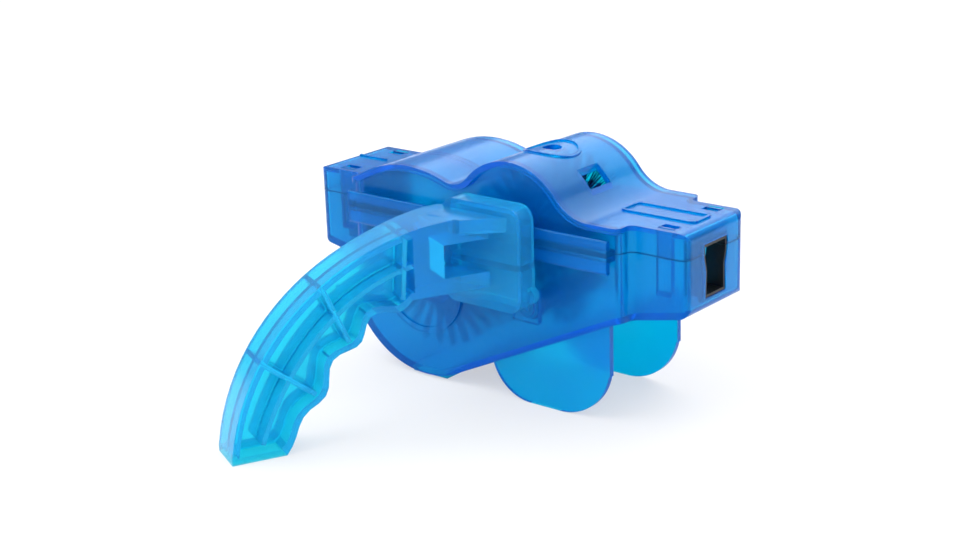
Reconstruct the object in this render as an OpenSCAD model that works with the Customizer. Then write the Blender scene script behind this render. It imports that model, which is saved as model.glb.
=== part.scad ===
// Bike chain cleaner: a two-part housing that closes over the chain, three turning
// brushes inside, and a handle that hooks on the side rail.
// The chain runs along X. The origin lies on the ground under the lower brush's axle.

/* [Housing] */
// Overall length along the chain
body_len = 152.5; // [149:0.5:160]
// From the exit end of the wide middle to the axis of the belly
belly_at = 30; // [29.5:0.1:30.5]
// Width of the wide middle
belly_w = 43.4; // [43:0.2:45]
// Width of the two end blocks
block_w = 33.2; // [32.8:0.2:34]
// Length of the wide middle
wide_len = 111.5; // [110:0.5:112]
// Wall thickness of the mouldings
wall = 2; // [1.8:0.1:2.2]
// Height of the parting line above the ground
parting_z = 57.5; // [57:0.5:59]
// Height of the flat tops of the end blocks
block_top = 66.2; // [65.6:0.2:67]
// Height of the end blocks' underside at the end faces
block_low = 39.3; // [38.5:0.1:39.8]
// Slope of the end blocks' underside, in degrees
block_slope = 11.5; // [9:0.5:13]
// Radius of the end blocks' upright corners
corner_r = 3.2; // [3:0.1:5]
// Radius of the end blocks' upper edges, and of the entry block's lower edge
edge_r = 3; // [2.5:0.5:4]
// Radius of the exit block's lower edge, outside
exit_low_r = 4.5; // [3:0.5:5]
// Radius of the round belly
belly_r = 33.6; // [33:0.2:34.4]
// Slope of the floor beside the belly, in degrees
floor_slope = 25; // [24:0.5:26]
// Overhang of the lid's lip
lip_over = 1.6; // [1:0.1:2]
// Thickness of the lid's lip
lip_t = 2; // [1.6:0.1:2.2]

/* [Humps of the lid] */
// Height of the low hump
low_hump_top = 74.2; // [73.4:0.2:76]
// Radius of the low hump
low_hump_r = 43; // [42:0.5:45]
// Centre of the low hump, before the belly's axis
low_hump_back = 3; // [0:0.5:5]
// Height of the high hump
high_hump_top = 81.5; // [81.5:0.1:83]
// Radius of the high hump
high_hump_r = 23; // [23:0.1:24]
// Centre of the high hump, from the belly's axis
high_hump_x = 39.5; // [39:0.1:40.5]
// Radius of the hollow between the humps
valley_r = 9; // [7:0.5:12]
// Radius of the hollow where a hump meets an end block
land_r = 16; // [10:1:18]
// Radius of the fill hole
fill_r = 3.2; // [3:0.1:4]
// Radius of the raised ring round the fill hole
fill_ring_r = 9.5; // [8:0.5:11]
// Height of raised rims and borders
rim_h = 0.6; // [0.4:0.1:0.8]
// Width of raised rims and borders
rim_w = 1; // [0.8:0.1:1.2]
// Length of the vent, along X
vent_l = 5.5; // [5:0.5:7]
// Width of the vent
vent_w = 11; // [10:0.5:12]
// Centre of the vent, from the high hump's centre
vent_x = 16.5; // [16:0.5:17.5]
// Length of the bare label place
label_l = 28; // [22:0.5:28.5]
// Width of the bare label place
label_w = 10.5; // [9:0.5:19]
// From the entry end face to the label place
label_at = 4.5; // [4:0.5:6]
// Length of the pair of ribs inside the low hump
guide_l = 25; // [20:1:27]
// Depth of the ribs inside the low hump, below its inner face
guide_h = 1.6; // [1:0.1:2]
// Distance of the ribs from the middle plane, toward the handle
guide_y = 3.4; // [3:0.1:6]
// Distance between the two ribs' middles
guide_pitch = 2.4; // [2.2:0.1:4]

/* [Latch windows] */
// Length of a window
window_l = 6; // [5:0.5:7]
// Width of a window
window_w = 4.7; // [4:0.1:5]
// From the entry end face to its windows
entry_window_at = 6; // [5:0.5:7]
// From the exit end face to its windows
exit_window_at = 8.5; // [8:0.1:11]
// Thickness of a latch tongue
tongue_t = 1.6; // [1.3:0.1:1.8]

/* [Rails, foot and fins] */
// Length of the side rails
rail_len = 107.5; // [104:0.5:108]
// Reach of the rails from the middle plane
rail_out = 26.5; // [26:0.1:27]
// Thickness of a rail
rail_t = 1.8; // [1.5:0.1:2]
// Drop of the lower rail below the parting line
rail_drop = 5.7; // [5.2:0.1:6]
// Rise of the upper rail above the parting line
rail_rise = 5.3; // [4.8:0.1:5.6]
// Length of the foot pad
foot_l = 15; // [12:1:17]
// Width of the foot pad
foot_w = 39; // [36:1:41]
// Height of the foot pad under the belly
foot_h = 1; // [0.8:0.1:1.4]
// Thickness of a fin
fin_t = 2; // [1.6:0.1:2.2]
// Distance of a fin's middle from the face of the side wall
fin_y = 2.5; // [2:0.1:4]
// Radius of a fin's front corner
fin_front_r = 20; // [18:0.5:21]
// Radius of a fin's back corner
fin_back_r = 16; // [14:0.5:17]
// Centre of a fin's front corner, from the belly's axis
fin_front_x = 56; // [54:0.5:57]
// Centre of a fin's back corner, from the belly's axis
fin_back_x = 44; // [42:0.5:46]
// Radius of the round boss on the side walls
boss_r = 17.6; // [16:0.2:18.6]
// Height of the round boss
boss_h = 0.8; // [0.5:0.1:1]

/* [Chain way] */
// Height of the chain's middle above the ground
chain_z = 49; // [48.8:0.1:49.1]
// Clear width for the chain
way_w = 8.4; // [8:0.1:8.6]
// Clear height for the chain
way_h = 9.4; // [9:0.1:9.4]
// Width of the slot at its top
slot_top_w = 13.4; // [12.8:0.1:14]
// Width of the slot at its waist
slot_waist_w = 11.2; // [10.8:0.1:11.8]
// Width of the slot at its foot
slot_foot_w = 11.8; // [11.4:0.1:12.4]
// Height of the slot's foot above the ground
slot_low = 43; // [42.6:0.1:43.1]
// Height of the slot's top above the ground
slot_high = 60.6; // [60.2:0.1:61]
// Wall of the rubber seals
seal_t = 1; // [0.8:0.1:1.1]
// Length of the rubber seals
seal_l = 7; // [6:0.5:7.5]
// Length of the sponges along the chain
sponge_l = 9; // [8:0.5:9.5]
// From the exit end face to the sponges
sponge_at = 9; // [8.5:0.5:10]

/* [Handle] */
// Width of the clip box
clip_w = 31.4; // [30:0.2:33]
// Height of the clip box
clip_h = 34.4; // [33:0.2:35]
// Drop of the clip box's underside below the arch's lower edge
clip_low = 7.4; // [6.8:0.1:8.2]
// Corner radius of the clip box
clip_r = 5; // [4:0.5:6]
// Middle of the clip box, from the belly's axis
clip_x = 36.3; // [36:0.1:38]
// Distance of the clip box's face from the middle plane
clip_face = 34; // [33:0.5:36]
// Swing of the arch away from square, in degrees
arch_turn = 26.2; // [20:0.2:28]
// Reach of the arch
arch_reach = 88; // [84:1:92]
// Height of the arch at its root
arch_h = 67; // [66:0.2:68]
// Drop of the arch's lower edge below its top, at the root
arch_under = 23.8; // [22:0.2:25]
// Width of the arch at its root
root_w = 20; // [18:0.5:21]
// Width of the arch at its grip
grip_w = 14; // [12:0.5:15]
// Thickness of the arch's outer and inner walls
flange_t = 2.3; // [2:0.1:2.6]
// Thickness of the arch's middle web
web_t = 2; // [1.6:0.1:2.2]
// Thickness of the arch's ribs
rib_t = 1.5; // [1.2:0.1:1.8]
// Depth of the finger waves
wave = 2.1; // [1.4:0.1:2.3]

/* [Brushes] */
// Radius of the axles
axle_r = 1.5; // [1.3:0.1:1.6]
// Radius of the hub tubes
hub_r = 3.6; // [3.2:0.1:3.8]
// Height of the lower brush's axle
lower_z = 34; // [33.6:0.1:34.2]
// Reach of the lower brush
lower_r = 25; // [23:0.5:25]
// Radius of the lower brush's toothed drum
drum_r = 9.8; // [9.4:0.1:9.9]
// Height of the upper brush's axle
upper_z = 58.5; // [58.4:0.1:58.8]
// Reach of the upper brush
upper_r = 19.5; // [18:0.5:19.5]
// Height of the centre brush's axle
centre_z = 33; // [32.6:0.1:33.2]
// Reach of the centre brush
centre_r = 10.8; // [10:0.1:10.8]
// Centre brush's axle, from the belly's axis
centre_x = 43; // [42:0.5:43.5]
// Radius of the lower brush's backing
lower_back_r = 9; // [8:0.5:10]
// Radius of the upper brush's backing
upper_back_r = 7; // [6:0.5:8]
// Radius of the centre brush's backing
centre_back_r = 4.8; // [4.6:0.1:5.2]
// Radius of one strand
strand_r = 0.7; // [0.6:0.05:0.75]
// Strands round the lower brush
lower_count = 24; // [18:1:26]
// Strands round the upper brush
upper_count = 22; // [16:1:22]
// Strands round the centre brush
centre_count = 12; // [10:1:14]
// Length of one row of strands along the axle
row_pitch = 3.4; // [3:0.1:3.5]

/* [Fits] */
// Gap between pieces that lie side by side
gap = 0.3; // [0.2:0.05:0.35]
// Gap round a turning axle
run_gap = 0.05; // [0.03:0.01:0.08]

/* [Hidden] */
$fn = 72;
over = 1;
seat = 0.1;
// How far the sloping floor starts inside the belly's round
floor_sink = seat / 2;

// Ends, middle and heights of the housing
wide_lo = -belly_at;
wide_hi = wide_lo + wide_len;
mid_x = (wide_lo + wide_hi) / 2;
exit_x = mid_x - body_len / 2;
entry_x = mid_x + body_len / 2;
block_l = wide_lo - exit_x;
belly_z = foot_h + belly_r;
step_r = (belly_w - block_w) / 4;
rail_lo = mid_x - rail_len / 2;
in_y = belly_w / 2 - wall;
block_in_y = block_w / 2 - wall;
high_z = high_hump_top + over;

// Places of the three brushes
lower_at = [0, lower_z];
upper_at = [high_hump_x, upper_z];
centre_at = [centre_x, centre_z];

// Widths along the axles: the middle over the chain, then the rows, then the cradles
way_y = way_w / 2;
row_y0 = way_y + gap;
cradle_t = wall;
cradle_y = in_y - cradle_t;
axle_y = in_y - gap;
bush_r = axle_r * 2;
bush_flange_r = axle_r * 2.7;
bush_flange_t = gap * 2;
bush_y = cradle_y - gap - bush_flange_t;
hub_y = bush_y - gap;
collar_t = gap * 3;
rows = floor((hub_y - collar_t - seat - row_y0) / row_pitch);
row_y1 = row_y0 + rows * row_pitch;
cradle_w = bush_r * 3.4;
strand_root = strand_r;

// Colours
housing_blue = [0.05, 0.52, 0.92, 0.75];
rubber_black = [0.05, 0.05, 0.06];
sponge_grey = [0.35, 0.37, 0.40];
steel = [0.75, 0.76, 0.78];
hub_blue = [0.10, 0.30, 0.62];
bristle_navy = [0.08, 0.14, 0.34];
bush_white = [0.90, 0.91, 0.92];

// Point where a circle round a and a circle round b cross, on the upper side
function upper_crossing(a, ra, b, rb) =
    let (
        d = norm(b - a),
        along = (d * d + ra * ra - rb * rb) / (2 * d),
        up = sqrt(ra * ra - along * along),
        e = (b - a) / d
    ) a + e * along + [-e[1], e[0]] * up;

// Point and direction of a cubic curve through four poles
function curve_point(p, t) =
    p[0] * pow(1 - t, 3) + p[1] * 3 * t * pow(1 - t, 2) + p[2] * 3 * t * t * (1 - t) + p[3] * pow(t, 3);
function curve_way(p, t) =
    (p[1] - p[0]) * pow(1 - t, 2) + (p[2] - p[1]) * 2 * t * (1 - t) + (p[3] - p[2]) * t * t;
function left_of(v) = [-v[1], v[0]] / norm(v);
// Point beside the curve, a distance off on its left
function beside(p, t, off) = curve_point(p, t) + left_of(curve_way(p, t)) * off;

// Rectangle round the origin with rounded corners
module rounded(l, w, r) {
    square([l, w - 2 * r], center = true);
    square([l - 2 * r, w], center = true);
    for (sx = [-1, 1], sy = [-1, 1])
        translate([sx * (l / 2 - r), sy * (w / 2 - r)])
            circle(r);
}

// Outline in X and Z, made solid from y0 to y1
module along_y(y0, y1) {
    translate([0, y1, 0])
        rotate([90, 0, 0])
            linear_extrude(y1 - y0)
                children();
}

// Outline in Y and Z, made solid from x0 to x1
module along_x(x0, x1) {
    translate([x0, 0, 0])
        rotate([90, 0, 90])
            linear_extrude(x1 - x0)
                children();
}

// Outline in X and Y, made solid from z0 to z1
module along_z(z0, z1) {
    translate([0, 0, z0])
        linear_extrude(z1 - z0)
            children();
}

// Round bar along Y at a place in X and Z
module rod_y(at, r, y0, y1) {
    translate([at[0], y1, at[1]])
        rotate([90, 0, 0])
            cylinder(h = y1 - y0, r = r);
}

// Points along an arc, a step apart in degrees
arc_step = 5;
corner_step = 10;
function arc(c, r, from, to, step = arc_step) =
    let (n = ceil(abs(to - from) / step))
    [for (i = [0 : n]) c + r * [cos(from + (to - from) * i / n), sin(from + (to - from) * i / n)]];

// The same points in a mirrored quarter, and in the other order
function flipped(points, sx, sy) = [for (p = points) [p[0] * sx, p[1] * sy]];
function reversed(points) = [for (i = [len(points) - 1 : -1 : 0]) points[i]];

// A quarter of the plan, drawn in by t: block corner, hollow and shoulder, which stays round
function plan_quarter(t) =
    let (
        corner = [body_len / 2 - corner_r, block_w / 2 - corner_r],
        shoulder_r = max(step_r - t, seat),
        hollow_r = step_r * 2 - shoulder_r,
        hollow = [wide_len / 2 - t + hollow_r, block_w / 2 - t + hollow_r],
        shoulder = [wide_len / 2 - t - shoulder_r, belly_w / 2 - t - shoulder_r],
        shoulder_arc = arc(shoulder, shoulder_r, 0, 90, corner_step)
    )
    concat(
        arc(corner, corner_r - t, 0, 90, corner_step),
        arc(hollow, hollow_r, 270, 180, corner_step),
        [for (i = [1 : len(shoulder_arc) - 1]) shoulder_arc[i]]
    );

// Plan of the housing, drawn in by t
module plan(t = 0) {
    quarter = plan_quarter(t);
    translate([mid_x, 0])
        polygon(concat(
            quarter,
            reversed(flipped(quarter, -1, 1)),
            flipped(quarter, -1, -1),
            reversed(flipped(quarter, 1, -1))
        ));
}

// Height of the sloping floor at x, drawn in by t
function floor_z(x, t) = belly_z - (belly_r - t - floor_sink) / cos(floor_slope) + x * tan(floor_slope);

// Side view of the belly and sloping floor, drawn in by t, up to a height
module belly_side(t, up) {
    floor_start = [0, belly_z] + (belly_r - t - floor_sink) * [sin(floor_slope), -cos(floor_slope)];
    intersection() {
        translate([0, belly_z])
            circle(belly_r - t);
        translate([wide_lo + t, 0])
            square([wide_len - 2 * t, up]);
    }
    polygon([
        [wide_lo + t, belly_z],
        [0, belly_z],
        floor_start,
        [wide_hi - t, floor_z(wide_hi - t, t)],
        [wide_hi - t, up],
        [wide_lo + t, up]
    ]);
}

// Side view of the entry block's lower half with a lower edge of radius r, drawn in by t
module block_side(r, t, up) {
    run = block_l + step_r * 2;
    corner = [-r, block_low - r * tan(block_slope) + r / cos(block_slope)];
    low = corner + (r - t) * [sin(block_slope), -cos(block_slope)];
    polygon(concat(
        [[-t, up]],
        arc(corner, r - t, 0, block_slope - 90, corner_step),
        [[-run, low[1] - (run + low[0]) * tan(block_slope)], [-run, up]]
    ));
}

// Side view of the two end blocks' lower halves, drawn in by t, up to a height
module blocks_side(t, up) {
    translate([entry_x, 0])
        block_side(edge_r, t, up);
    translate([exit_x, 0])
        mirror([1, 0])
            block_side(t > 0 ? edge_r : exit_low_r, t, up);
}

// Space of the tub's outside, or of its inside, drawn in by t
module tub_form(t, up) {
    intersection() {
        along_z(0, up)
            plan(t);
        along_y(-belly_w, belly_w) {
            belly_side(t, up);
            blocks_side(t, up);
        }
    }
}

low_hump_c = [-low_hump_back, low_hump_top - low_hump_r];
high_hump_c = [high_hump_x, high_hump_top - high_hump_r];
valley_c = upper_crossing(low_hump_c, low_hump_r + valley_r, high_hump_c, high_hump_r + valley_r);

// Centre of the hollow between a hump and the land beside it
function land_c(c, r, side) =
    [c[0] + side * sqrt(pow(r + land_r, 2) - pow(block_top + land_r - c[1], 2)), block_top + land_r];
land_lo = land_c(low_hump_c, low_hump_r, -1);
land_hi = land_c(high_hump_c, high_hump_r, 1);

// Direction from one point to another, in degrees
function way(a, b) = atan2(b[1] - a[1], b[0] - a[0]);

// Side view of the lid's top, drawn in by t, from a height upward
module top_side(t, from) {
    corner_z = block_top - edge_r;
    polygon(concat(
        [[exit_x + t, from]],
        arc([exit_x + edge_r, corner_z], edge_r - t, 180, 90),
        arc(land_lo, land_r + t, -90, way(land_lo, low_hump_c)),
        arc(low_hump_c, low_hump_r - t, way(low_hump_c, land_lo), way(low_hump_c, valley_c)),
        arc(valley_c, valley_r + t, way(valley_c, low_hump_c), way(valley_c, high_hump_c)),
        arc(high_hump_c, high_hump_r - t, way(high_hump_c, valley_c), way(high_hump_c, land_hi)),
        arc(land_hi, land_r + t, way(land_hi, high_hump_c), -90),
        arc([entry_x - edge_r, corner_z], edge_r - t, 90, 0),
        [[entry_x - t, from]]
    ));
}

// Space of the lid's outside, or of its inside, drawn in by t
module lid_form(t, from) {
    intersection() {
        along_z(from, high_z)
            plan(t);
        along_y(-belly_w, belly_w)
            top_side(t, from);
    }
}

// The lid's skin between two depths, wherever a plan outline reaches
module lid_skin(t0, t1) {
    intersection() {
        along_z(parting_z, high_z + over)
            children();
        along_y(-belly_w, belly_w)
            difference() {
                top_side(t0, parting_z);
                top_side(t1, parting_z - over);
            }
    }
}

// Corners of the chain slot from its foot up, one side, drawn in by t
function slot_side(t) = [
    [slot_foot_w / 2 - t, slot_low + t],
    [slot_waist_w / 2 - t, (slot_low + slot_high) / 2],
    [slot_top_w / 2 - t, slot_high - (slot_top_w - slot_waist_w) * 2],
    [slot_top_w / 2 - t, slot_high - t]
];

// Outline of the chain slot in Y and Z, drawn in by t
module slot_outline(t = 0) {
    side = slot_side(t);
    count = len(side);
    polygon([
        for (i = [0 : count - 1]) side[i],
        for (i = [0 : count - 1]) [-side[count - 1 - i][0], side[count - 1 - i][1]]
    ]);
}

// The chain slot cut through both end walls
module slot_cuts() {
    along_x(exit_x - over, exit_x + wall + over)
        slot_outline();
    along_x(entry_x - wall - over, entry_x + over)
        slot_outline();
}

// Places of the latch windows: x of the near edge, one for each end
window_xs = [entry_x - entry_window_at - window_l, exit_x + exit_window_at];

// Rail profile on one side, from the wall out, with its lip rising or dropping
module rail_profile(reach) {
    up = sign(reach);
    tall = abs(reach);
    for (side = [-1, 1])
        scale([side, up]) {
            translate([in_y, 0])
                square([rail_out - in_y - rail_t / 2, rail_t]);
            translate([rail_out - rail_t, 0])
                square([rail_t, tall - rail_t / 2]);
            translate([rail_out - rail_t / 2, tall - rail_t / 2])
                circle(rail_t / 2);
        }
}

// Fins under the sloping floor
module fins() {
    for (side = [-1, 1])
        along_y(side * (belly_w / 2 - fin_y) - fin_t / 2, side * (belly_w / 2 - fin_y) + fin_t / 2)
            difference() {
                union() {
                    translate([fin_back_x, fin_back_r])
                        circle(fin_back_r);
                    translate([fin_front_x, fin_front_r])
                        circle(fin_front_r);
                    translate([fin_back_x, 0])
                        square([fin_front_x - fin_back_x, fin_front_r]);
                    translate([fin_back_x - fin_back_r, fin_back_r])
                        square([fin_front_x + fin_front_r - fin_back_x + fin_back_r, parting_z]);
                }
                belly_side(wall / 2, parting_z * 2);
            }
}

// Round boss with a sunk middle on both side walls
module side_bosses() {
    for (side = [0, 1])
        mirror([0, side, 0])
            difference() {
                rod_y(lower_at, boss_r, in_y, belly_w / 2 + boss_h);
                rod_y(lower_at, boss_r - rim_w * 2, belly_w / 2 + boss_h / 3, belly_w);
            }
}

// Tongues that stand in the lid's windows
module tongues() {
    tongue_y = block_in_y - gap - tongue_t;
    for (x = window_xs, side = [0, 1])
        mirror([0, side, 0])
            along_x(x + gap, x + window_l - gap)
                polygon([
                    [tongue_y, parting_z - rail_drop * 2],
                    [block_in_y + wall / 2, parting_z - rail_drop * 2 - wall],
                    [block_in_y + wall / 2, parting_z - wall],
                    [block_in_y - gap, parting_z - gap],
                    [block_in_y - gap, block_top - tongue_t / 2],
                    [block_in_y - gap - tongue_t / 2, block_top],
                    [tongue_y, block_top]
                ]);
}

// Cradle for a bush on the tub's side walls, open upward
module cradles(at, rise) {
    for (side = [0, 1])
        mirror([0, side, 0])
            along_y(cradle_y, in_y + wall / 2)
                difference() {
                    translate([at[0] - cradle_w / 2, at[1] - cradle_w / 2])
                        square([cradle_w, cradle_w / 2 + rise]);
                    translate(at)
                        circle(bush_r + seat);
                    translate([at[0] - bush_r - seat, at[1]])
                        square([bush_r * 2 + seat * 2, rise + over]);
                }
}

module tub() {
    color(housing_blue) {
        difference() {
            union() {
                tub_form(0, parting_z);
                translate([0, 0, parting_z])
                    along_x(rail_lo, rail_lo + rail_len)
                        rail_profile(-rail_drop);
                along_y(-foot_w / 2, foot_w / 2)
                    translate([-foot_l / 2, 0])
                        square([foot_l, foot_h + wall * 0.8]);
                fins();
                side_bosses();
            }
            tub_form(wall, parting_z + over);
            slot_cuts();
        }
        tongues();
        cradles(lower_at, bush_r * 2);
        cradles(centre_at, bush_r * 2);
    }
}

// Snap forks in the lid that hold the upper brush's bushes from above
module forks() {
    mouth = bush_r * 0.85;
    drop = cradle_w / 3;
    for (side = [0, 1])
        mirror([0, side, 0])
            difference() {
                union() {
                    along_y(cradle_y - gap, in_y - gap)
                        translate([upper_at[0] - cradle_w / 2, upper_at[1] - drop])
                            square([cradle_w, drop + cradle_w * 0.7]);
                    along_y(in_y - gap - over, in_y + wall / 2)
                        translate([upper_at[0] - cradle_w / 2, parting_z + rail_t])
                            square([cradle_w, cradle_w * 0.6]);
                }
                rod_y(upper_at, bush_r + seat, 0, in_y - gap);
                along_y(0, in_y - gap)
                    translate([upper_at[0] - mouth, 0])
                        square([mouth * 2, upper_at[1]]);
            }
}

// Border of the bare label place, and a bar on the exit block
module borders() {
    lid_skin(-rim_h, wall / 2) {
        translate([entry_x - label_at - label_l / 2, 0])
            difference() {
                rounded(label_l, label_w, rim_w * 2);
                rounded(label_l - rim_w * 2, label_w - rim_w * 2, rim_w);
            }
        translate([exit_x + edge_r, rim_w])
            square([block_l - edge_r - step_r * 2, rim_w]);
    }
}

// Pair of ribs along the inside of the low hump
module guide_ribs() {
    for (side = [-1, 1])
        lid_skin(wall / 2, wall + guide_h)
            translate([low_hump_c[0] - guide_l / 2, -guide_y + side * guide_pitch / 2 - rim_w / 2])
                square([guide_l, rim_w]);
}

// Raised ring round the fill hole
module fill_ring() {
    lid_skin(-rim_h, wall / 2)
        translate([high_hump_x, 0])
            difference() {
                circle(fill_ring_r);
                circle(fill_ring_r - rim_w);
            }
}

module lid() {
    color(housing_blue) {
        difference() {
            union() {
                lid_form(0, parting_z);
                lid_skin(0, lip_t)
                    translate([mid_x, 0])
                        rounded(wide_len, belly_w + lip_over * 2, step_r);
                translate([0, 0, parting_z])
                    along_x(rail_lo, rail_lo + rail_len)
                        rail_profile(rail_rise);
                borders();
                fill_ring();
            }
            lid_form(wall, parting_z - over);
            slot_cuts();
            for (x = window_xs, side = [0, 1])
                mirror([0, side, 0])
                    translate([x, block_in_y - window_w, block_top - wall - over])
                        cube([window_l, window_w, wall + over * 2]);
            translate([high_hump_x, 0, high_hump_c[1]])
                cylinder(h = high_hump_r + over, r = fill_r);
            translate([high_hump_x + vent_x - vent_l / 2, -vent_w / 2, block_top - wall])
                cube([vent_l, vent_w, high_hump_top - block_top + wall]);
        }
        forks();
        guide_ribs();
    }
}

// Poles of the arch's outer edge and of its inner edge, as shares of reach and height
outer_shares = [[0.10, 1], [0.515, 1.01], [0.935, 0.64], [1, 0.03]];
inner_shares = [[0.30, 1], [0.53, 0.93], [0.63, 0.52], [0.80, 0]];
outer_poles = [for (s = outer_shares) [s[0] * arch_reach, s[1] * arch_h]];
under_z = arch_h - arch_under;
inner_poles = [for (s = inner_shares) [s[0] * arch_reach, s[1] * under_z]];
arch_steps = 24;
wave_turns = 3.2;

// Points of the outer edge, drawn in by t, from root to tip
function outer_edge(t) = [for (i = [0 : arch_steps]) beside(outer_poles, i / arch_steps, -t)];
// Points of the inner edge with its finger waves, drawn in by t, from tip to root
function inner_edge(t) = [
    for (i = [arch_steps - 1 : -1 : 0])
        beside(inner_poles, i / arch_steps, t - wave * sin(wave_turns * 360 * i / arch_steps) * min(1, 4 - 4 * i / arch_steps))
];

// Outline of the arch in its own reach and height, drawn in by t
module arch_outline(t = 0) {
    polygon(concat(
        [[-root_w / 2, arch_h - t]],
        outer_edge(t),
        [[arch_reach - t * 2, t], [inner_poles[3][0] + t, t]],
        inner_edge(t),
        [[-root_w / 2, under_z + t]]
    ));
}

// Bar between two points in the plane
module bar(a, b, w) {
    translate(a)
        rotate(atan2(b[1] - a[1], b[0] - a[0]))
            translate([0, -w / 2])
                square([norm(b - a), w]);
}

// Stations of the cross ribs along the outer and the inner edge, as shares
rib_shares = [[0.18, 0.05], [0.46, 0.42], [0.73, 0.72]];

// The arch's ribs: three across, and one along the middle
module arch_ribs() {
    for (s = rib_shares)
        bar(beside(outer_poles, s[0], -flange_t / 2), beside(inner_poles, s[1], flange_t / 2), rib_t);
    for (i = [0 : arch_steps - 2]) {
        a = i / arch_steps;
        b = (i + 1) / arch_steps;
        bar(
            (curve_point(outer_poles, a) + curve_point(inner_poles, a)) / 2,
            (curve_point(outer_poles, b) + curve_point(inner_poles, b)) / 2,
            rib_t
        );
    }
}

// Plan of the arch along its reach: the near side is straight, the far side draws in
module arch_plan() {
    taper_steps = 8;
    taper = arch_reach / 2;
    polygon(concat(
        [[-root_w / 2, 0], [arch_reach + over, 0], [arch_reach + over, -grip_w]],
        [
            for (i = [taper_steps : -1 : 0])
                [taper * i / taper_steps, -root_w + (root_w - grip_w) * (1 - cos(180 * i / taper_steps)) / 2]
        ],
        [[-root_w / 2, -root_w]]
    ));
}

arch_turned = 270 - arch_turn;
arch_root_x = clip_x + root_w / 6;
clip_z = under_z - clip_low;

// The arched grip in its own frame: reach along X, near side at Y zero
module arch() {
    web_y = -grip_w / 2;
    pocket_lo = arch_reach * 0.29;
    difference() {
        intersection() {
            along_y(-root_w - over, over)
                arch_outline();
            along_z(-over, arch_h + over)
                arch_plan();
        }
        along_y(web_y + web_t / 2, over)
            difference() {
                arch_outline(flange_t);
                arch_ribs();
                translate([-root_w, 0])
                    square([root_w + pocket_lo, arch_h]);
            }
        along_y(-root_w - over, web_y - web_t / 2)
            difference() {
                arch_outline(flange_t);
                arch_ribs();
                translate([-root_w, 0])
                    square([root_w + pocket_lo, arch_h]);
            }
        along_y(-root_w - over, over)
            translate([-root_w, under_z + flange_t * 2.2])
                square([root_w + arch_reach * 0.175, arch_under - flange_t * 5.6]);
    }
}

// Outline of the clip box in X and Z, drawn in by t
module clip_outline(t = 0) {
    translate([clip_x, clip_z + clip_h / 2])
        rounded(clip_w - 2 * t, clip_h - 2 * t, clip_r - t);
}

// Box on the handle whose shelf and hook take the tub's lower rail
module clip_box() {
    back_y = -rail_out - gap;
    hook_lo = parting_z - rail_drop - gap - wall;
    hook_y = -rail_out + rail_t + gap;
    hook_w = clip_w - wall * 4;
    lug_r = wall * 1.4;
    along_y(-clip_face, -clip_face + wall)
        clip_outline();
    along_y(-clip_face, back_y)
        difference() {
            clip_outline();
            clip_outline(wall);
        }
    translate([clip_x - clip_w / 2 + wall / 2, -clip_face + wall / 2, hook_lo])
        cube([clip_w - wall, clip_face + back_y - wall / 2, wall]);
    translate([clip_x - hook_w / 2, -clip_face + wall / 2, hook_lo])
        cube([hook_w, clip_face + hook_y + rail_t - wall / 2, wall]);
    translate([clip_x - hook_w / 2, hook_y, hook_lo])
        cube([hook_w, rail_t, wall + rail_drop - rail_t]);
    rod_y([clip_x + clip_w / 2 - wall / 2, clip_z + clip_r], lug_r, back_y - lug_r, back_y);
}

// Web that widens the top of the arch to the clip box
module root_flare() {
    top_t = flange_t * 2;
    flare = root_w / 3;
    far_x = clip_x - clip_w / 2 + clip_r;
    near_x = clip_x + clip_w / 2 - clip_r;
    along_z(arch_h - top_t, arch_h)
        polygon([
            [far_x, -clip_face + wall / 2],
            [far_x - flare / 3, -clip_face - flare * 1.5],
            [arch_root_x - flare / 2, -clip_face - flare * 1.5],
            [near_x, -clip_face],
            [near_x, -clip_face + wall / 2]
        ]);
}

module handle() {
    color(housing_blue) {
        difference() {
            translate([arch_root_x, -clip_face, 0])
                rotate([0, 0, arch_turned])
                    arch();
            translate([clip_x - clip_w, -clip_face + wall / 2, 0])
                cube([clip_w * 2, clip_face, high_hump_top]);
        }
        clip_box();
        root_flare();
    }
}

// Rubber lining of a chain slot at the entry end, between two heights
module seal(z0, z1) {
    intersection() {
        union() {
            along_x(entry_x - seal_l, entry_x - gap)
                difference() {
                    slot_outline(seat);
                    slot_outline(seal_t);
                }
            along_x(entry_x - wall - seal_t - seat, entry_x - wall - seat)
                difference() {
                    slot_outline(-seal_t);
                    slot_outline(seal_t);
                }
        }
        translate([0, -block_w / 2, z0])
            cube([entry_x, block_w, z1 - z0]);
    }
}

module entry_seal_lower() {
    color(rubber_black)
        seal(0, parting_z - seat);
}

module entry_seal_upper() {
    color(rubber_black)
        seal(parting_z + seat, high_z);
}

// The exit end's linings are the entry end's, mirrored about the housing's middle
module at_exit() {
    translate([mid_x * 2, 0, 0])
        mirror([1, 0, 0])
            children();
}

module exit_seal_lower() {
    color(rubber_black)
        at_exit()
            seal(0, parting_z - seat);
}

module exit_seal_upper() {
    color(rubber_black)
        at_exit()
            seal(parting_z + seat, high_z);
}

sponge_x = exit_x + sponge_at;
sponge_y = block_in_y - gap * 2 - tongue_t;
sponge_low = block_low + wall * 0.8;

module lower_sponge() {
    color(sponge_grey)
        along_x(sponge_x, sponge_x + sponge_l)
            difference() {
                translate([-sponge_y, sponge_low])
                    square([sponge_y * 2, parting_z - gap - sponge_low]);
                translate([-way_y - seat, chain_z - way_h / 2 - seat])
                    square([way_w + seat * 2, parting_z]);
            }
}

module upper_sponge() {
    color(sponge_grey)
        along_x(sponge_x, sponge_x + sponge_l) {
            translate([-sponge_y, parting_z + gap])
                square([sponge_y * 2, block_top - wall - gap - parting_z - gap]);
            translate([-way_y + gap, chain_z + way_h / 2 + seat])
                square([way_w - gap * 2, block_top - wall - gap - chain_z - way_h / 2 - seat]);
        }
}

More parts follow.
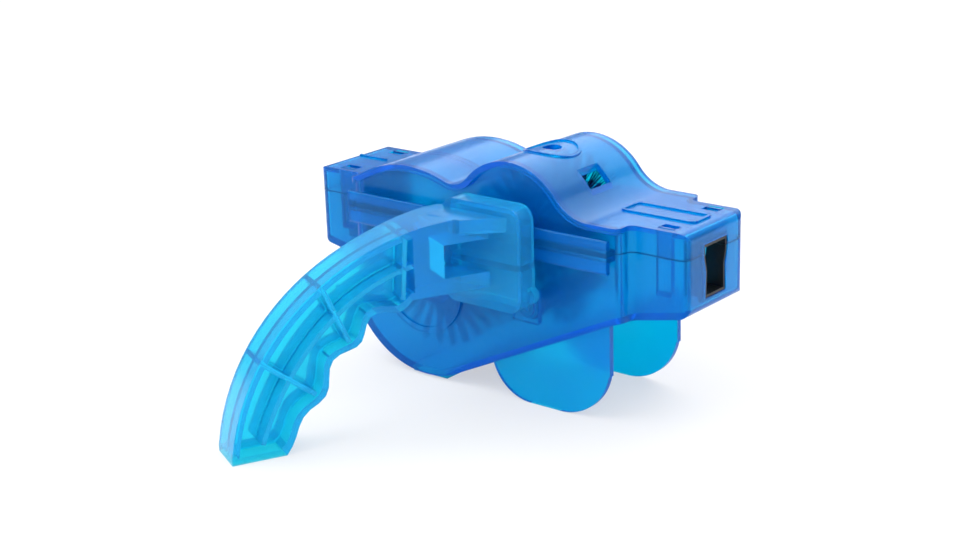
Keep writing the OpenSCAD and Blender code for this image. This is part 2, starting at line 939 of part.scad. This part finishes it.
// Axle of a brush, from cradle to cradle
module axle(at) {
    color(steel)
        rod_y(at, axle_r, -axle_y, axle_y);
}

// Pair of flanged bushes that carry an axle, held in cradles from y0 to y1
module bushes(at, y0, y1) {
    color(bush_white)
        for (side = [0, 1])
            mirror([0, side, 0])
                difference() {
                    union() {
                        rod_y(at, bush_r, y0 - bush_flange_t, y1);
                        rod_y(at, bush_flange_r, y0 - bush_flange_t, y0 - seat);
                    }
                    rod_y(at, axle_r + run_gap, 0, in_y + over);
                }
}

// Hub tube of a brush with an end collar on each side
module hub_tube(at, collar_r) {
    rod_y(at, hub_r, -hub_y, hub_y);
    for (side = [0, 1])
        mirror([0, side, 0])
            rod_y(at, collar_r, row_y1 + seat, row_y1 + seat + collar_t);
}

// Backing ring with rows of strands, from y0 up
module bristles(at, back_r, tip_r, count, row_count, pitch, y0) {
    color(bristle_navy) {
        difference() {
            rod_y(at, back_r, y0, y0 + row_count * pitch);
            rod_y(at, hub_r + seat, y0 - over, y0 + row_count * pitch + over);
        }
        for (row = [0 : row_count - 1], i = [0 : count - 1])
            translate([at[0], y0 + (row + 0.5) * pitch, at[1]])
                rotate([0, (i + (row % 2) / 2) * 360 / count, 0])
                    translate([0, 0, back_r - strand_root])
                        cylinder(h = tip_r - back_r + strand_root, r = strand_r, $fn = 4);
    }
}

module lower_axle() {
    axle(lower_at);
}

drum_teeth = 12;

module lower_hub() {
    color(hub_blue)
        difference() {
            union() {
                hub_tube(lower_at, lower_back_r);
                rod_y(lower_at, drum_r * 0.78, -way_y, way_y);
                for (i = [0 : drum_teeth - 1])
                    translate([lower_at[0], 0, lower_at[1]])
                        rotate([0, i * 360 / drum_teeth, 0])
                            along_y(-way_y / 2, way_y / 2)
                                polygon([
                                    [-drum_r * 0.16, drum_r * 0.7],
                                    [drum_r * 0.16, drum_r * 0.7],
                                    [drum_r * 0.07, drum_r],
                                    [-drum_r * 0.07, drum_r]
                                ]);
            }
            rod_y(lower_at, axle_r, -in_y, in_y);
        }
}

module lower_bristles_near() {
    bristles(lower_at, lower_back_r, lower_r, lower_count, rows, row_pitch, -row_y1);
}

module lower_bristles_far() {
    bristles(lower_at, lower_back_r, lower_r, lower_count, rows, row_pitch, row_y0);
}

module lower_bushes() {
    bushes(lower_at, cradle_y, in_y - seat);
}

module upper_axle() {
    axle_in = in_y - gap * 2;
    color(steel)
        rod_y(upper_at, axle_r, -axle_in, axle_in);
}

module upper_hub() {
    color(hub_blue)
        difference() {
            hub_tube(upper_at, upper_back_r);
            rod_y(upper_at, axle_r, -in_y, in_y);
        }
}

module upper_bristles_near() {
    bristles(upper_at, upper_back_r, upper_r, upper_count, rows, row_pitch, -row_y1);
}

module upper_bristles_far() {
    bristles(upper_at, upper_back_r, upper_r, upper_count, rows, row_pitch, row_y0);
}

module upper_bushes() {
    bushes(upper_at, cradle_y - gap, in_y - gap - seat);
}

module centre_axle() {
    axle(centre_at);
}

module centre_hub() {
    color(hub_blue)
        difference() {
            hub_tube(centre_at, centre_back_r);
            rod_y(centre_at, axle_r, -in_y, in_y);
        }
}

module centre_bristles() {
    centre_rows = 4;
    bristles(centre_at, centre_back_r, centre_r, centre_count, centre_rows, way_w / centre_rows, -way_y);
}

module centre_bushes() {
    bushes(centre_at, cradle_y, in_y - seat);
}

tub();
lid();
handle();
entry_seal_lower();
entry_seal_upper();
exit_seal_lower();
exit_seal_upper();
lower_sponge();
upper_sponge();
lower_axle();
lower_hub();
lower_bristles_near();
lower_bristles_far();
lower_bushes();
upper_axle();
upper_hub();
upper_bristles_near();
upper_bristles_far();
upper_bushes();
centre_axle();
centre_hub();
centre_bristles();
centre_bushes();
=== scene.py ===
import itertools
import math
import random

import bmesh
import bpy
from mathutils import Matrix, Vector, noise


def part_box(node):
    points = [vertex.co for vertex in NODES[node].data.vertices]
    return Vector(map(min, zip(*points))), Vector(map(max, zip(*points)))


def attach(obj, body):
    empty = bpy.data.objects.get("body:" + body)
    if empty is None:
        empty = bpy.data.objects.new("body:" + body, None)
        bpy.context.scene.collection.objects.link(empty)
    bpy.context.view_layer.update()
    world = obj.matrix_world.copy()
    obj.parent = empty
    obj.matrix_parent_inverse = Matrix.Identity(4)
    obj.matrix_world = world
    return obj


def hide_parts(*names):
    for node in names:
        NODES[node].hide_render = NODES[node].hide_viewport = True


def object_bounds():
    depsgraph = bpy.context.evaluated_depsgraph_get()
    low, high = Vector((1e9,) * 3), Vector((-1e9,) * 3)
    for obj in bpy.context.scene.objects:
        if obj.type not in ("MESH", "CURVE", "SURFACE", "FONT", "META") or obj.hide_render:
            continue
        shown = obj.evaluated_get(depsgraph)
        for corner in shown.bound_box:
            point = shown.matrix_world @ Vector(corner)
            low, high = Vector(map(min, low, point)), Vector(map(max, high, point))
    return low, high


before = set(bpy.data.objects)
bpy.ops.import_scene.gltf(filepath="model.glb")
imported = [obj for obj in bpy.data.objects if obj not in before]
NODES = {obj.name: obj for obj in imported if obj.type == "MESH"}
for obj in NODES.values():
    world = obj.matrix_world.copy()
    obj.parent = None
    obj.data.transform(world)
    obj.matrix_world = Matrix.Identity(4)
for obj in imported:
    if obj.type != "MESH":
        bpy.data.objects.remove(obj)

MM = 0.001
cad_lo, cad_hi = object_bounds()

# Camera: place, turn in degrees and lens, worked out from the photograph
CAMERA_AT = Vector((384.984, -452.393, 225.167)) * MM
CAMERA_AZIMUTH = 39.56
CAMERA_ELEVATION = 18.17
CAMERA_ROLL = -1.79
CAMERA_LENS = 66.52
SENSOR_WIDTH = 36

# Light: the sky goes from the horizon's grey to white, and each lamp has its place, size and power
SKY_LEVEL = 1.0
HORIZON = (0.22, 0.24, 0.28, 1.0)
WHITE = (1.0, 1.0, 1.0, 1.0)
HORIZON_HEIGHT = 0.05
WHITE_HEIGHT = 0.7
LAMPS = {
    "key": ((-0.35, -0.55, 0.8), 0.9, 5.0),
    "fill": ((0.7, -0.5, 0.5), 0.9, 2.0),
    "back": ((-0.1, 0.6, 0.7), 1.0, 4.5),
}
FLOOR_SIZE = 20
FLOOR_COLOUR = (0.93, 0.93, 0.93, 1)
FLOOR_OWN_LIGHT = 0.55
LIGHT_BOUNCES = 24

# Noise: the part of its range that is in use, and its detail
NOISE_LOW = 0.3
NOISE_HIGH = 0.7
SOFT_DETAIL = 2.0
FROST_DETAIL = 3.0
GRAIN_DETAIL = 4.0

# Blue plastic: the light that its thickness lets through, and the blue of its reflections
LET_THROUGH = (0.0, 0.968, 0.9995, 1)
SHEEN = (0.2, 0.8, 1.0, 1)
PLASTIC_IOR = 1.46
MILK_GLOSS = 0.3
MILK_ROUGHNESS = 0.4

# Blue plastic: grains a metre of its frost, milk and flow, how far each varies, and the flow's height
FROST_GRAINS = 420
FROST_SHARE = 0.2
MILK_GRAINS = 45
MILK_SHARE = 0.1
FLOW_GRAINS = 60
FLOW_STRETCH = (0.25, 1, 1)
FLOW_BUMP = 0.1
FLOW_HEIGHT = 0.3 * MM

# Opaque materials: how far the roughness varies, and the grain's height
GRAIN_SHARE = 0.15
GRAIN_HEIGHT = 0.2 * MM

# Edges of the solids, with angles in degrees
WELD_REACH = 0.002 * MM
EDGE_R = 0.3 * MM
EDGE_SEGMENTS = 2
EDGE_ANGLE = 40
SHARP_ANGLE = 28

# Brushes
HAIRS_IN_TUFT = 7
HAIR_SIDES = 4
HAIR_STEPS = 3
HAIR_R = 0.16 * MM
HAIR_TAPER_SHARE = 0.45
TUFT_R = 0.55 * MM
TUFT_OPENING = 1.8
TIP_SCATTER = 0.4 * MM
LEAN_ROUND = 0.5 * MM
LEAN_ALONG = 0.25 * MM
SLEEVE_BORE_SHARE = 0.45
SLEEVE_STEPS = 48

# Sponges, and the chain's way through them as the solids leave it
FOAM_STEP = 0.6 * MM
FOAM_ROUNDS = 4
FOAM_SOFTENING = 0.5
FOAM_GRAINS = 1300
FOAM_PIT = 0.16 * MM
FOAM_PIT_LEVEL = 0.2
WAY_HALF = 4.3 * MM
WAY_FLOOR = 44.2 * MM
PARTING = 57.8 * MM
TONGUE_HALF = 3.9 * MM
CELL_SIDE = ((0, 0), (1, 0), (1, 1), (0, 1))


def new_material(name):
    """An empty node material, with its node tree and output."""
    material = bpy.data.materials.new(name)
    material.use_nodes = True
    tree = material.node_tree
    tree.nodes.clear()
    output = tree.nodes.new("ShaderNodeOutputMaterial")
    return material, tree, output


def added(tree, kind, values):
    """A new node of this kind, with the values of its own sockets."""
    node = tree.nodes.new(kind)
    for socket, value in values.items():
        node.inputs[socket].default_value = value
    return node


def mixed(tree, share, first, second):
    """Two shaders in one, with the second's share from a socket."""
    mix = tree.nodes.new("ShaderNodeMixShader")
    tree.links.new(share, mix.inputs["Fac"])
    tree.links.new(first, mix.inputs[1])
    tree.links.new(second, mix.inputs[2])
    return mix.outputs["Shader"]


def noise_at(tree, grains, detail, stretch=(1, 1, 1)):
    """Noise in the object's own metres, with so many grains a metre."""
    place = tree.nodes.new("ShaderNodeTexCoord")
    mapping = added(tree, "ShaderNodeMapping", {"Scale": stretch})
    grain = added(tree, "ShaderNodeTexNoise", {"Scale": grains, "Detail": detail})
    tree.links.new(place.outputs["Object"], mapping.inputs["Vector"])
    tree.links.new(mapping.outputs["Vector"], grain.inputs["Vector"])
    return grain.outputs["Fac"]


def between(tree, socket, low, high):
    """The noise, moved into the range from low to high."""
    limits = {"From Min": NOISE_LOW, "From Max": NOISE_HIGH, "To Min": low, "To Max": high}
    moved = added(tree, "ShaderNodeMapRange", limits)
    tree.links.new(socket, moved.inputs["Value"])
    return moved.outputs["Result"]


def around(tree, socket, middle, share):
    """The noise, moved round a middle value by a share of it each way."""
    return between(tree, socket, middle * (1 - share), middle * (1 + share))


def bumped(tree, socket, strength, height):
    """A normal from the noise."""
    bump = added(tree, "ShaderNodeBump", {"Strength": strength, "Distance": height})
    tree.links.new(socket, bump.inputs["Height"])
    return bump.outputs["Normal"]


def translucent_plastic(name, tint, body, milk, rough, density):
    """Milky moulding: walls that let light through in the tint, with some milk in the body colour."""
    material, tree, output = new_material(name)
    clear = added(tree, "ShaderNodeBsdfPrincipled", {
        "Base Color": (*tint, 1),
        "Transmission Weight": 1,
        "IOR": PLASTIC_IOR,
        "Specular Tint": SHEEN,
    })
    milky = added(tree, "ShaderNodeBsdfPrincipled", {
        "Base Color": (*body, 1),
        "Roughness": MILK_ROUGHNESS,
        "Specular IOR Level": MILK_GLOSS,
        "Specular Tint": SHEEN,
    })
    frost = noise_at(tree, FROST_GRAINS, FROST_DETAIL)
    tree.links.new(around(tree, frost, rough, FROST_SHARE), clear.inputs["Roughness"])
    flow = noise_at(tree, FLOW_GRAINS, SOFT_DETAIL, FLOW_STRETCH)
    normal = bumped(tree, flow, FLOW_BUMP, FLOW_HEIGHT)
    tree.links.new(normal, clear.inputs["Normal"])
    tree.links.new(normal, milky.inputs["Normal"])
    cloud = noise_at(tree, MILK_GRAINS, SOFT_DETAIL)
    share = around(tree, cloud, milk, MILK_SHARE)
    skin = mixed(tree, share, clear.outputs["BSDF"], milky.outputs["BSDF"])
    inside = added(tree, "ShaderNodeVolumeAbsorption", {"Color": LET_THROUGH, "Density": density})
    tree.links.new(skin, output.inputs["Surface"])
    tree.links.new(inside.outputs["Volume"], output.inputs["Volume"])
    return material


def solid_material(name, dark, bright, rough, grains, bump, metallic=0.0, stretch=(1, 1, 1)):
    """An opaque material whose colour, roughness and height vary with a fine grain."""
    material, tree, output = new_material(name)
    shader = added(tree, "ShaderNodeBsdfPrincipled", {"Metallic": metallic})
    grain = noise_at(tree, grains, GRAIN_DETAIL, stretch)
    colours = tree.nodes.new("ShaderNodeValToRGB")
    colours.color_ramp.elements[0].color = (*dark, 1)
    colours.color_ramp.elements[1].color = (*bright, 1)
    tree.links.new(between(tree, grain, 0, 1), colours.inputs["Fac"])
    tree.links.new(colours.outputs["Color"], shader.inputs["Base Color"])
    tree.links.new(around(tree, grain, rough, GRAIN_SHARE), shader.inputs["Roughness"])
    tree.links.new(bumped(tree, grain, bump, GRAIN_HEIGHT), shader.inputs["Normal"])
    tree.links.new(shader.outputs["BSDF"], output.inputs["Surface"])
    return material


housing = translucent_plastic(
    "housing_plastic", tint=(0.02, 0.82, 1.0), body=(0.0, 0.22, 0.84), milk=0.28, rough=0.2, density=1500
)
grip = translucent_plastic(
    "handle_plastic", tint=(0.15, 0.94, 1.0), body=(0.05, 0.52, 1.0), milk=0.26, rough=0.2, density=900
)
rubber = solid_material(
    "rubber", dark=(0.002, 0.002, 0.003), bright=(0.008, 0.008, 0.01), rough=0.45, grains=900, bump=0.3
)
steel = solid_material(
    "pin_steel", dark=(0.42, 0.43, 0.45), bright=(0.62, 0.63, 0.66), rough=0.26, grains=600, bump=0.1,
    metallic=1.0, stretch=(1, 0.05, 1)
)
hub_plastic = solid_material(
    "hub_plastic", dark=(0.01, 0.05, 0.2), bright=(0.02, 0.09, 0.32), rough=0.4, grains=500, bump=0.2
)
white_plastic = solid_material(
    "bush_plastic", dark=(0.72, 0.74, 0.76), bright=(0.84, 0.85, 0.86), rough=0.38, grains=400, bump=0.15
)
nylon = solid_material(
    "strand_nylon", dark=(0.006, 0.02, 0.09), bright=(0.02, 0.06, 0.2), rough=0.32, grains=1500, bump=0.1
)
sponge = solid_material(
    "sponge_foam", dark=(0.1, 0.11, 0.13), bright=(0.26, 0.28, 0.31), rough=0.9, grains=1200, bump=0.8
)


def smoothing():
    """Node group that shades a mesh smooth, with every edge past an angle left sharp."""
    group = bpy.data.node_groups.new("smooth_by_angle", "GeometryNodeTree")
    group.interface.new_socket("Geometry", in_out="INPUT", socket_type="NodeSocketGeometry")
    group.interface.new_socket("Geometry", in_out="OUTPUT", socket_type="NodeSocketGeometry")
    came = group.nodes.new("NodeGroupInput")
    went = group.nodes.new("NodeGroupOutput")
    faces = group.nodes.new("GeometryNodeSetShadeSmooth")
    edges = added(group, "GeometryNodeSetShadeSmooth", {"Shade Smooth": False})
    edges.domain = "EDGE"
    angle = group.nodes.new("GeometryNodeInputMeshEdgeAngle")
    wide = added(group, "FunctionNodeCompare", {"B": math.radians(SHARP_ANGLE)})
    wide.operation = "GREATER_THAN"
    group.links.new(angle.outputs["Unsigned Angle"], wide.inputs["A"])
    group.links.new(wide.outputs["Result"], edges.inputs["Selection"])
    group.links.new(came.outputs["Geometry"], faces.inputs["Geometry"])
    group.links.new(faces.outputs["Geometry"], edges.inputs["Geometry"])
    group.links.new(edges.outputs["Geometry"], went.inputs["Geometry"])
    return group


SMOOTH = smoothing()


def round_edges(node):
    """Small rounds on a solid's sharp edges."""
    rounds = node.modifiers.new("edges", "BEVEL")
    rounds.width = EDGE_R
    rounds.segments = EDGE_SEGMENTS
    rounds.limit_method = "ANGLE"
    rounds.angle_limit = math.radians(EDGE_ANGLE)
    rounds.use_clamp_overlap = True


def dress(names, material, rounded=False):
    """Gives CAD nodes their material, joined faces, rounds where asked and smooth shading."""
    for name in names:
        node = NODES[name]
        node.data.materials.clear()
        node.data.materials.append(material)
        weld = node.modifiers.new("weld", "WELD")
        weld.merge_threshold = WELD_REACH
        if rounded:
            round_edges(node)
        smooth = node.modifiers.new("smooth", "NODES")
        smooth.node_group = SMOOTH
        even = node.modifiers.new("normals", "WEIGHTED_NORMAL")
        even.keep_sharp = True


dress(["tub", "lid"], housing, rounded=True)
dress(["handle"], grip, rounded=True)
dress(["entry_seal_lower", "entry_seal_upper", "exit_seal_lower", "exit_seal_upper"], rubber)
dress(["lower_axle", "upper_axle", "centre_axle"], steel)
dress(["lower_hub", "upper_hub", "centre_hub"], hub_plastic)
dress(["lower_bushes", "upper_bushes", "centre_bushes"], white_plastic)


def finished(name, shape, material):
    """A scene object from a bmesh, with its material."""
    mesh = bpy.data.meshes.new(name)
    shape.to_mesh(mesh)
    shape.free()
    mesh.materials.append(material)
    piece = bpy.data.objects.new(name, mesh)
    bpy.context.scene.collection.objects.link(piece)
    return piece


def hair(shape, root, tip, bend):
    """One tapered strand from root to tip, bent sideways on its way."""
    along = (tip - root).normalized()
    side = along.orthogonal().normalized()
    up = along.cross(side)
    last = None
    for step in range(HAIR_STEPS + 1):
        share = step / HAIR_STEPS
        centre = root.lerp(tip, share) + bend * share * share
        radius = HAIR_R * (1 - HAIR_TAPER_SHARE * share)
        ring = []
        for corner in range(HAIR_SIDES):
            turn = 2 * math.pi * corner / HAIR_SIDES
            ring.append(shape.verts.new(centre + (side * math.cos(turn) + up * math.sin(turn)) * radius))
        if last:
            for corner in range(HAIR_SIDES):
                after = (corner + 1) % HAIR_SIDES
                shape.faces.new((last[corner], last[after], ring[after], ring[corner]))
        else:
            shape.faces.new(reversed(ring))
        last = ring
    shape.faces.new(last)


def tuft(shape, foot, out, across, back, reach, draw):
    """A bundle of strands that stands on the sleeve and opens towards its tips."""
    for number in range(HAIRS_IN_TUFT):
        turn = 2 * math.pi * number / (HAIRS_IN_TUFT - 1)
        ring = TUFT_R if number else 0
        aside = across * math.cos(turn) * ring + Vector((0, math.sin(turn) * ring, 0))
        root = foot + out * (back - HAIR_R) + aside
        tip = foot + out * (reach - TIP_SCATTER * draw.random()) + aside * TUFT_OPENING
        lean = across * draw.uniform(-LEAN_ROUND, LEAN_ROUND)
        lean.y = draw.uniform(-LEAN_ALONG, LEAN_ALONG)
        hair(shape, root, tip, lean)


def sleeve(shape, centre, inner, outer, y0, y1):
    """The backing ring that the tufts stand on, round an axle along Y."""
    loops = []
    for radius, y in ((inner, y0), (outer, y0), (outer, y1), (inner, y1)):
        loop = []
        for step in range(SLEEVE_STEPS):
            turn = 2 * math.pi * step / SLEEVE_STEPS
            place = (centre.x + radius * math.sin(turn), y, centre.z + radius * math.cos(turn))
            loop.append(shape.verts.new(place))
        loops.append(loop)
    for number, loop in enumerate(loops):
        following = loops[(number + 1) % len(loops)]
        for step in range(SLEEVE_STEPS):
            after = (step + 1) % SLEEVE_STEPS
            shape.faces.new((loop[step], loop[after], following[after], following[step]))


def brush(node, body, tufts, rows, back):
    """Rings of tufts in the place of a CAD brush, on a sleeve with the radius back."""
    lo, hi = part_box(node)
    centre = (lo + hi) / 2
    reach = (hi.x - lo.x) / 2 - HAIR_R
    pitch = (hi.y - lo.y) / rows
    draw = random.Random(node)
    shape = bmesh.new()
    sleeve(shape, centre, back * SLEEVE_BORE_SHARE, back, lo.y, hi.y)
    for row in range(rows):
        foot = Vector((centre.x, lo.y + (row + 0.5) * pitch, centre.z))
        for number in range(tufts):
            turn = 2 * math.pi * (number + (row % 2) / 2) / tufts
            out = Vector((math.sin(turn), 0, math.cos(turn)))
            across = Vector((math.cos(turn), 0, -math.sin(turn)))
            tuft(shape, foot, out, across, back, reach, draw)
    bmesh.ops.recalc_face_normals(shape, faces=shape.faces)
    piece = finished(node.replace("bristles", "strands"), shape, nylon)
    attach(piece, body)
    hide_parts(node)


def lattice(lo, hi, hollow):
    """The outer faces of the small cells that fill a box, but for the cells in its hollow."""
    counts = [round((hi[axis] - lo[axis]) / FOAM_STEP) for axis in range(3)]
    steps = [(hi[axis] - lo[axis]) / counts[axis] for axis in range(3)]
    shape = bmesh.new()
    corners = {}

    def filled(cell):
        if any(cell[axis] < 0 or cell[axis] >= counts[axis] for axis in range(3)):
            return False
        return not hollow(lo.y + (cell[1] + 0.5) * steps[1], lo.z + (cell[2] + 0.5) * steps[2])

    def corner(place):
        if place not in corners:
            corners[place] = shape.verts.new([lo[axis] + place[axis] * steps[axis] for axis in range(3)])
        return corners[place]

    def wall(cell, axis, side):
        first, second = [other for other in range(3) if other != axis]
        loop = []
        for step_first, step_second in CELL_SIDE:
            place = list(cell)
            place[axis] += side
            place[first] += step_first
            place[second] += step_second
            loop.append(corner(tuple(place)))
        shape.faces.new(loop)

    for cell in itertools.product(*(range(count) for count in counts)):
        if not filled(cell):
            continue
        for axis, side in itertools.product(range(3), (0, 1)):
            beside = list(cell)
            beside[axis] += 2 * side - 1
            if not filled(beside):
                wall(cell, axis, side)
    return shape


def foam(node, body, hollow):
    """A sponge in the place of a CAD block: soft edges and a pitted skin, with the hollow left open."""
    lo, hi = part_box(node)
    shape = lattice(lo, hi, hollow)
    bmesh.ops.recalc_face_normals(shape, faces=shape.faces)
    for _ in range(FOAM_ROUNDS):
        bmesh.ops.smooth_vert(
            shape, verts=shape.verts, factor=FOAM_SOFTENING,
            use_axis_x=True, use_axis_y=True, use_axis_z=True
        )
    shape.normal_update()
    for vert in shape.verts:
        pit = max(0.0, noise.noise(vert.co * FOAM_GRAINS) + FOAM_PIT_LEVEL)
        vert.co -= vert.normal * FOAM_PIT * pit
    for face in shape.faces:
        face.smooth = True
    piece = finished(node.replace("sponge", "foam"), shape, sponge)
    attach(piece, body)
    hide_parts(node)


foam("lower_sponge", "tub", lambda y, z: abs(y) < WAY_HALF and z > WAY_FLOOR)
foam("upper_sponge", "lid", lambda y, z: abs(y) > TONGUE_HALF and z < PARTING)

for far in ("near", "far"):
    brush(f"lower_bristles_{far}", "lower_brush", tufts=24, rows=3, back=9 * MM)
    brush(f"upper_bristles_{far}", "upper_brush", tufts=22, rows=3, back=7 * MM)
brush("centre_bristles", "centre_brush", tufts=12, rows=4, back=4.8 * MM)


def photo_camera():
    """The camera, where the photograph was taken from."""
    data = bpy.data.cameras.new("camera")
    data.sensor_width = SENSOR_WIDTH
    data.lens = CAMERA_LENS
    camera = bpy.data.objects.new("camera", data)
    bpy.context.scene.collection.objects.link(camera)
    turn = Matrix.Rotation(math.radians(CAMERA_AZIMUTH), 4, "Z")
    tilt = Matrix.Rotation(math.radians(90 - CAMERA_ELEVATION), 4, "X")
    roll = Matrix.Rotation(math.radians(CAMERA_ROLL), 4, "Z")
    camera.matrix_world = Matrix.Translation(CAMERA_AT) @ turn @ tilt @ roll
    bpy.context.scene.camera = camera


def seen_directly(tree):
    """1 for rays from the camera or through the plastic, and 0 for the rest."""
    path = tree.nodes.new("ShaderNodeLightPath")
    either = tree.nodes.new("ShaderNodeMath")
    either.operation = "MAXIMUM"
    tree.links.new(path.outputs["Is Camera Ray"], either.inputs[0])
    tree.links.new(path.outputs["Is Transmission Ray"], either.inputs[1])
    return either.outputs["Value"]


def surroundings():
    """A sky that is white where it is seen, and has a grey horizon for reflections."""
    world = bpy.data.worlds.new("surroundings")
    bpy.context.scene.world = world
    world.use_nodes = True
    tree = world.node_tree
    tree.nodes.clear()
    output = tree.nodes.new("ShaderNodeOutputWorld")
    place = tree.nodes.new("ShaderNodeTexCoord")
    apart = tree.nodes.new("ShaderNodeSeparateXYZ")
    height = tree.nodes.new("ShaderNodeValToRGB")
    height.color_ramp.elements[0].position = HORIZON_HEIGHT
    height.color_ramp.elements[0].color = HORIZON
    height.color_ramp.elements[1].position = WHITE_HEIGHT
    height.color_ramp.elements[1].color = WHITE
    lit = added(tree, "ShaderNodeBackground", {"Strength": SKY_LEVEL})
    tree.links.new(place.outputs["Generated"], apart.inputs["Vector"])
    tree.links.new(apart.outputs["Z"], height.inputs["Fac"])
    tree.links.new(height.outputs["Color"], lit.inputs["Color"])
    seen = added(tree, "ShaderNodeBackground", {"Color": WHITE})
    sky = mixed(tree, seen_directly(tree), lit.outputs["Background"], seen.outputs["Background"])
    tree.links.new(sky, output.inputs["Surface"])


def ground():
    """A white floor that takes the shadow, with some light of its own where it is seen."""
    material, tree, output = new_material("floor_white")
    plain = added(tree, "ShaderNodeBsdfDiffuse", {"Color": FLOOR_COLOUR})
    glow = added(tree, "ShaderNodeEmission", {"Color": WHITE})
    own = added(tree, "ShaderNodeMath", {1: FLOOR_OWN_LIGHT})
    own.operation = "MULTIPLY"
    tree.links.new(seen_directly(tree), own.inputs[0])
    both = mixed(tree, own.outputs["Value"], plain.outputs["BSDF"], glow.outputs["Emission"])
    tree.links.new(both, output.inputs["Surface"])
    bpy.ops.mesh.primitive_plane_add(size=FLOOR_SIZE, location=(0, 0, 0))
    floor = bpy.context.object
    floor.name = "floor"
    floor.data.materials.append(material)


def lamps():
    """Soft square lamps that point at the middle of the part."""
    for name, (place, size, power) in LAMPS.items():
        data = bpy.data.lights.new(name, "AREA")
        data.size = size
        data.energy = power
        lamp = bpy.data.objects.new(name, data)
        lamp.location = place
        aim = (cad_lo + cad_hi) / 2 - lamp.location
        lamp.rotation_euler = aim.to_track_quat("-Z", "Y").to_euler()
        bpy.context.scene.collection.objects.link(lamp)


photo_camera()
surroundings()
ground()
lamps()
bpy.context.scene.view_settings.view_transform = "Standard"
bpy.context.scene.cycles.max_bounces = LIGHT_BOUNCES
bpy.context.scene.cycles.transmission_bounces = LIGHT_BOUNCES
